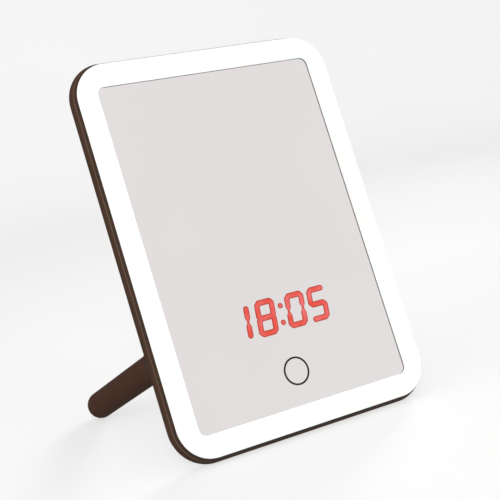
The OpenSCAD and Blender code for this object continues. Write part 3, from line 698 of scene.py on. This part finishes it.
def makeShell(d):
    draft = math.radians(d["draft"])
    roundDepth = panel["thick"] - d["backRound"]
    roundOut = (roundDepth * math.sin(draft) - d["backRound"]) / math.cos(draft)
    frontOut = d["parting"] * math.tan(draft)
    section = [(frontOut, d["parting"])]
    section += arc((roundOut, roundDepth), d["backRound"], -d["draft"], 90, 12)
    piece = sweptRim("backShell", section)
    edit(piece)
    choose(piece, "edges", lambda e: allIn(e, lambda p: p.z < -panel["thick"] + near))
    bpy.ops.mesh.edge_face_add()
    closeUp()
    applyModifier(piece, "SOLIDIFY", thickness=d["wall"] * mm, offset=-1, use_even_offset=True)
    # chamfer round the front edge, in a lighter brown that is a painted highlight
    piece.data.materials.append(finishes["case"])
    piece.data.materials.append(finishes["sheen"])

    def onFrontEdge(p):
        reach = max(abs(p.x) - panel["width"] / 2, abs(p.y) - panel["height"] / 2)
        corner = Vector((max(0, abs(p.x) - panel["width"] / 2 + panel["corner"]),
                         max(0, abs(p.y) - panel["height"] / 2 + panel["corner"])))
        if corner.x and corner.y:
            reach = corner.length - panel["corner"]
        return abs(p.z + d["parting"]) < near and abs(reach - frontOut) < d["edgeNear"]

    edit(piece)
    choose(piece, "edges", lambda e: allIn(e, onFrontEdge))
    bpy.ops.mesh.bevel(offset=d["chamfer"] * mm, segments=2, affect="EDGES", profile=0.5,
                       material=1)
    bpy.ops.object.mode_set(mode="OBJECT")
    # holes for the buttons, the sunk screw heads and the charging socket
    holes = shellHoles(d)
    back = -panel["thick"]
    cutters = []
    for x, y, radius, deep in holes:
        cutters.append(rod("hole", radius, back - overcut, back + deep, (x, y)))
    clear = socketDims["clear"]
    slot = roundedPlate("slot", socketDims["width"] + 2 * clear, socketDims["thick"] + 2 * clear,
                        socketDims["thick"] / 2 + clear - near,
                        socketDims["slotFront"], socketDims["slotBack"])
    applyPlace(slot, panelPlace.inverted() @ socketPlace)
    combine(piece, join(cutters + [slot]), "DIFFERENCE")
    edit(piece)
    for x, y, radius, deep in holes:
        centre = Vector((x, y, back))
        choose(piece, "edges",
               lambda e: allIn(e, lambda p: abs((p - centre).length - radius) < d["holeNear"]))
        bevelChosen(d["holeEdge"], 2)
    bpy.ops.object.mode_set(mode="OBJECT")
    applyPlace(piece, panelPlace)
    # flat underneath, where it stands
    edit(piece)
    bpy.ops.mesh.select_all(action="SELECT")
    bpy.ops.mesh.bisect(plane_co=(0, 0, 0), plane_no=(0, 0, 1), use_fill=True, clear_inner=True,
                        threshold=hair)
    smooth(piece)
    settle(piece, "panel", "case", finishes["case"], "rear_shell")


# screws with a cross recess
screwDims = dict(head=1.9, headThick=0.75, edge=0.25, shank=1, recess=2, slot=0.5, deep=0.4, clear=0.1,
                 caseLong=5, bracketLong=3)


def makeScrews(name, node, places, top, length, d):
    copies = []
    for x, y in places:
        profile = [(0, top)] + arc((d["head"] - d["edge"], top - d["edge"]), d["edge"], 90, 0, 4)
        under = top - d["headThick"]
        tip = under - length
        profile += [(d["head"], under), (d["shank"], under), (d["shank"], tip), (0, tip)]
        screw = turned(name, profile, steps=36)
        for wide, tall in [(d["recess"], d["slot"]), (d["slot"], d["recess"])]:
            cross = block("cross", (-wide / 2, -tall / 2, top - d["deep"]),
                          (wide / 2, tall / 2, top + overcut))
            combine(screw, cross, "DIFFERENCE")
        applyPlace(screw, backPlace @ Matrix.Translation((x * mm, y * mm, 0)))
        copies.append(screw)
    piece = join(copies)
    smooth(piece)
    settle(piece, "panel", "steel", finishes["steel"], node)


# hinges: clevis bracket, riveted pin and leg, in a place whose origin is on the pin, z out of the back
hingeDims = dict(earIn=4.86, earOut=7.86, knuckle=6, pivotOut=8.6, base=1.6, baseLong=17, stopY=-6.36,
                 stopThick=2.2, stopHigh=3, footRound=3, edge=0.45, pin=1.5, pinClear=0.02, pinHead=2.5,
                 pinDome=0.9, screwDrop=12.78)
legDims = dict(radius=7.5, arm=98.1, shoulder=6.4, shoulderEdge=0.4, tang=4.5, tangSunk=2, knuckle=6,
               bore=1.55, edge=0.4)


def hingePlace(side):
    pivot = Vector(joints[side + "_leg_fold"]["pos_m"])
    return Matrix.Translation(pivot) @ panelPlace.to_3x3().to_4x4() @ halfTurn


def rodAcross(name, radius, reach):
    piece = rod(name, radius, -reach, reach)
    applyPlace(piece, Matrix.Rotation(math.pi / 2, 4, "Y"))
    return piece


def makeBracket(side, d):
    # seen from the side: foot, stop wall and round knuckle, drawn out to the full width
    foot = -d["pivotOut"] + d["base"]
    wall = d["stopY"] - d["stopThick"]
    wallEnd = 180 - math.degrees(math.asin(d["stopHigh"] / d["knuckle"]))
    outline = [(-d["baseLong"], -d["pivotOut"]), (-d["baseLong"], foot), (wall, foot),
               (wall, d["stopHigh"])]
    outline += arc((0, 0), d["knuckle"], wallEnd, 0, 20)
    outline.append((d["knuckle"], -d["pivotOut"]))
    piece = startChain(side + "Bracket", [(-d["earOut"], y, z) for y, z in outline])
    bpy.ops.mesh.edge_face_add()
    across = (2 * d["earOut"] * mm, 0, 0)
    bpy.ops.mesh.extrude_region_move(TRANSFORM_OT_translate={"value": across})
    choose(piece, "edges", lambda e: allIn(e, lambda p: p.y < -d["baseLong"] + near)
           and abs(e.verts[0].co.z - e.verts[1].co.z) > near * mm)
    bevelChosen(d["footRound"], 6)
    closeUp()
    beyond = d["knuckle"] + overcut
    slot = block("slot", (-d["earIn"], d["stopY"], foot), (d["earIn"], beyond, beyond))
    combine(piece, slot, "DIFFERENCE")
    bore = rodAcross("bore", d["pin"] + d["pinClear"], d["earOut"] + overcut)
    combine(piece, bore, "DIFFERENCE")
    softenEdges(piece, d["edge"], 3, 40)
    smooth(piece)
    applyPlace(piece, hingePlace(side))
    settle(piece, "panel", "case", finishes["case"], side + "_bracket")


def makePin(side, d):
    # domed rivet heads on both ears
    sag = (d["pinHead"] ** 2 + d["pinDome"] ** 2) / (2 * d["pinDome"])
    half = math.degrees(math.asin(d["pinHead"] / sag))
    dome = arc((0, d["earOut"] + d["pinDome"] - sag), sag, 90, 90 - half, 6)
    upper = dome + [(d["pin"], d["earOut"])]
    profile = upper + [(radius, -height) for radius, height in reversed(upper)]
    piece = turned(side + "HingePin", profile, steps=36)
    smooth(piece, 35)
    applyPlace(piece, hingePlace(side) @ Matrix.Rotation(math.pi / 2, 4, "Y"))
    settle(piece, "panel", "steel", finishes["steel"], side + "_hinge_pin")


def makeLeg(side, d):
    place = hingePlace(side)
    low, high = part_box(side + "_leg")
    radius = d["radius"] * mm
    tip = place.inverted() @ Vector((middle(side + "_leg").x, high.y - radius, low.z + radius))
    openAngle = math.atan2(-tip.y, tip.z)
    profile = [(0, d["shoulder"])]
    edge = d["shoulderEdge"]
    profile += arc((d["radius"] - edge, d["shoulder"] + edge), edge, -90, 0, 5)
    profile += arc((0, d["arm"]), d["radius"], 0, 90, 14)
    piece = turned(side + "Leg", profile, steps=64)
    tang = block("tang", (-d["tang"], -d["knuckle"], -d["knuckle"]),
                 (d["tang"], d["knuckle"], d["shoulder"] + d["tangSunk"]))
    edit(tang)
    choose(tang, "edges", lambda e: allIn(e, lambda p: p.z < -d["knuckle"] + near)
           and abs(e.verts[0].co.x - e.verts[1].co.x) > near * mm)
    bevelChosen(d["knuckle"] - near, 12)
    bpy.ops.object.mode_set(mode="OBJECT")
    softenEdges(tang, d["edge"], 3, 40)
    combine(piece, tang, "UNION")
    combine(piece, rodAcross("bore", d["bore"], d["tang"] + overcut), "DIFFERENCE")
    smooth(piece)
    applyPlace(piece, place @ Matrix.Rotation(openAngle, 4, "X"))
    settle(piece, side + "_leg", "leg", finishes["leg"], side + "_leg")


makeOpalBorder(opalDims)
makeMirror(glassDims)
makeRing(glassDims)
makeClock(clockDims)
print("front pieces modelled")
makeFrontRim(caseDims)
makeShell(caseDims)
makeSocket(socketDims)
makeButtons(buttonDims)
makeScrews("caseScrews", "case_screws", screwPlaces(caseDims["screwInset"]), 0,
           screwDims["caseLong"], screwDims)
print("case modelled")
bracketHoles = []
for side in ("left", "right"):
    makeBracket(side, hingeDims)
    makePin(side, hingeDims)
    makeLeg(side, legDims)
    foot = backPlace.inverted() @ hingePlace(side).translation
    bracketHoles += [(foot.x / mm + x, foot.y / mm - hingeDims["screwDrop"])
                     for x in (-hingeDims["earIn"], hingeDims["earIn"])]
makeScrews("bracketScrews", "bracket_screws", bracketHoles, hingeDims["base"] + screwDims["headThick"],
           screwDims["bracketLong"], screwDims)
print("hinges and legs modelled")


# camera at the photographed angle
cameraView = dict(aim=(-4.3, -32.1, 91.9), distance=614, azimuth=29.97, pitch=9.66, roll=7.89,
                  lens=86.4, sensor=36)


def addCamera(view):
    azimuth = math.radians(view["azimuth"])
    pitch = math.radians(view["pitch"])
    ahead = Vector((math.sin(azimuth) * math.cos(pitch), math.cos(azimuth) * math.cos(pitch),
                    -math.sin(pitch)))
    data = bpy.data.cameras.new("camera")
    data.lens = view["lens"]
    data.sensor_width = view["sensor"]
    camera = bpy.data.objects.new("camera", data)
    scene.collection.objects.link(camera)
    camera.rotation_mode = "QUATERNION"
    roll = Quaternion((0, 0, 1), -math.radians(view["roll"]))
    camera.rotation_quaternion = ahead.to_track_quat("-Z", "Y") @ roll
    camera.location = (Vector(view["aim"]) - ahead * view["distance"]) * mm
    scene.camera = camera


addCamera(cameraView)

# plain studio in metres: pale floor that sweeps up behind, and soft lamps
# what the glass mirrors is a room that is white in front and dim behind
studio = dict(world=0.8, seen=0.87, dim=0.15, dimStart=-0.35, dimEnd=0.05, floorWidth=30, floorFront=-8,
              floorBack=1.6, wallHeight=3, sweep=0.7)
paper = dict(dark=(150, 150, 149), light=(153, 153, 152), nearGlow=0.6, farGlow=0.67, glowStart=0,
             glowEnd=1.1)
lampAim = (0, 0, 0.09)
lamps = dict(
    front=dict(place=(-0.75, -1.3, 0.85), size=0.4, spread=180, power=13),
    side=dict(place=(-1.1, -0.3, 0.35), size=0.6, spread=180, power=2.6),
    back=dict(place=(1.3, 1.0, 0.55), size=0.5, spread=36, power=1.3),
)


def fadeBack(tree, vector, start, end, first, last):
    # one level in front of start, another behind end
    split = tree.nodes.new("ShaderNodeSeparateXYZ")
    fade = tree.nodes.new("ShaderNodeMapRange")
    fade.inputs["From Min"].default_value = start
    fade.inputs["From Max"].default_value = end
    fade.inputs["To Min"].default_value = first
    fade.inputs["To Max"].default_value = last
    tree.links.new(vector, split.inputs["Vector"])
    tree.links.new(split.outputs["Y"], fade.inputs["Value"])
    return fade.outputs["Result"]


def addWorld():
    world = bpy.data.worlds.new("studio")
    world.use_nodes = True
    scene.world = world
    tree = world.node_tree
    soft = tree.nodes["Background"]
    soft.inputs["Color"].default_value = (1, 1, 1, 1)
    soft.inputs["Strength"].default_value = studio["world"]
    white = tree.nodes.new("ShaderNodeBackground")
    white.inputs["Color"].default_value = (1, 1, 1, 1)
    white.inputs["Strength"].default_value = studio["seen"]
    mirrored = tree.nodes.new("ShaderNodeBackground")
    mirrored.inputs["Color"].default_value = (1, 1, 1, 1)
    coords = tree.nodes.new("ShaderNodeTexCoord")
    level = fadeBack(tree, coords.outputs["Generated"], studio["dimStart"], studio["dimEnd"],
                     1, studio["dim"])
    tree.links.new(level, mirrored.inputs["Strength"])
    path = tree.nodes.new("ShaderNodeLightPath")
    seen = tree.nodes.new("ShaderNodeMath")
    seen.operation = "MAXIMUM"
    tree.links.new(path.outputs["Is Camera Ray"], seen.inputs[0])
    tree.links.new(path.outputs["Is Transmission Ray"], seen.inputs[1])
    first = tree.nodes.new("ShaderNodeMixShader")
    tree.links.new(seen.outputs[0], first.inputs["Fac"])
    tree.links.new(soft.outputs[0], first.inputs[1])
    tree.links.new(white.outputs[0], first.inputs[2])
    second = tree.nodes.new("ShaderNodeMixShader")
    tree.links.new(path.outputs["Is Glossy Ray"], second.inputs["Fac"])
    tree.links.new(first.outputs[0], second.inputs[1])
    tree.links.new(mirrored.outputs[0], second.inputs[2])
    tree.links.new(second.outputs[0], tree.nodes["World Output"].inputs["Surface"])


def addLamps():
    for name, lamp in lamps.items():
        data = bpy.data.lights.new(name, "AREA")
        data.shape = "DISK"
        data.size = lamp["size"]
        data.spread = math.radians(lamp["spread"])
        data.energy = lamp["power"]
        light = bpy.data.objects.new(name, data)
        light.location = lamp["place"]
        aim = Vector(lampAim) - light.location
        light.rotation_euler = aim.to_track_quat("-Z", "Y").to_euler()
        light.visible_camera = False
        light.visible_glossy = False
        scene.collection.objects.link(light)


def paperFinish(name, d):
    # pale paper with light under it, a little more at the back, which only the camera sees
    material = surface(name, d["dark"], d["light"], patch=3, rough=(0.8, 0.9), grain=800,
                       relief=0.03, specular=0.1)
    tree = material.node_tree
    path = tree.nodes.new("ShaderNodeLightPath")
    glow = tree.nodes.new("ShaderNodeMath")
    glow.operation = "MULTIPLY"
    coords = tree.nodes.new("ShaderNodeTexCoord")
    level = fadeBack(tree, coords.outputs["Object"], d["glowStart"], d["glowEnd"],
                     d["nearGlow"], d["farGlow"])
    shader = tree.nodes["Principled BSDF"]
    shader.inputs["Emission Color"].default_value = (1, 1, 1, 1)
    tree.links.new(path.outputs["Is Camera Ray"], glow.inputs[0])
    tree.links.new(level, glow.inputs[1])
    tree.links.new(glow.outputs[0], shader.inputs["Emission Strength"])
    return material


def addFloor():
    clearSelection()
    bpy.ops.mesh.primitive_plane_add(size=1)
    floor = bpy.context.object
    floor.name = "floor"
    bpy.ops.object.mode_set(mode="EDIT")
    depth = studio["floorBack"] - studio["floorFront"]
    bpy.ops.transform.resize(value=(studio["floorWidth"], depth, 1))
    bpy.ops.transform.translate(value=(0, (studio["floorBack"] + studio["floorFront"]) / 2, 0))
    far = studio["floorBack"] - mm
    choose(floor, "edges", lambda e: all(v.co.y > far for v in e.verts))
    bpy.ops.mesh.extrude_region_move(TRANSFORM_OT_translate={"value": (0, 0, studio["wallHeight"])})
    choose(floor, "edges", lambda e: all(v.co.y > far and v.co.z < mm for v in e.verts))
    bpy.ops.mesh.bevel(offset=studio["sweep"], segments=16, affect="EDGES")
    bpy.ops.object.mode_set(mode="OBJECT")
    smooth(floor, 40)
    floor.data.materials.append(paperFinish("floorPaper", paper))
    # the glass mirrors the white room only
    floor.visible_glossy = False


addWorld()
addLamps()
addFloor()
scene.view_settings.view_transform = "Standard"
print("studio set")
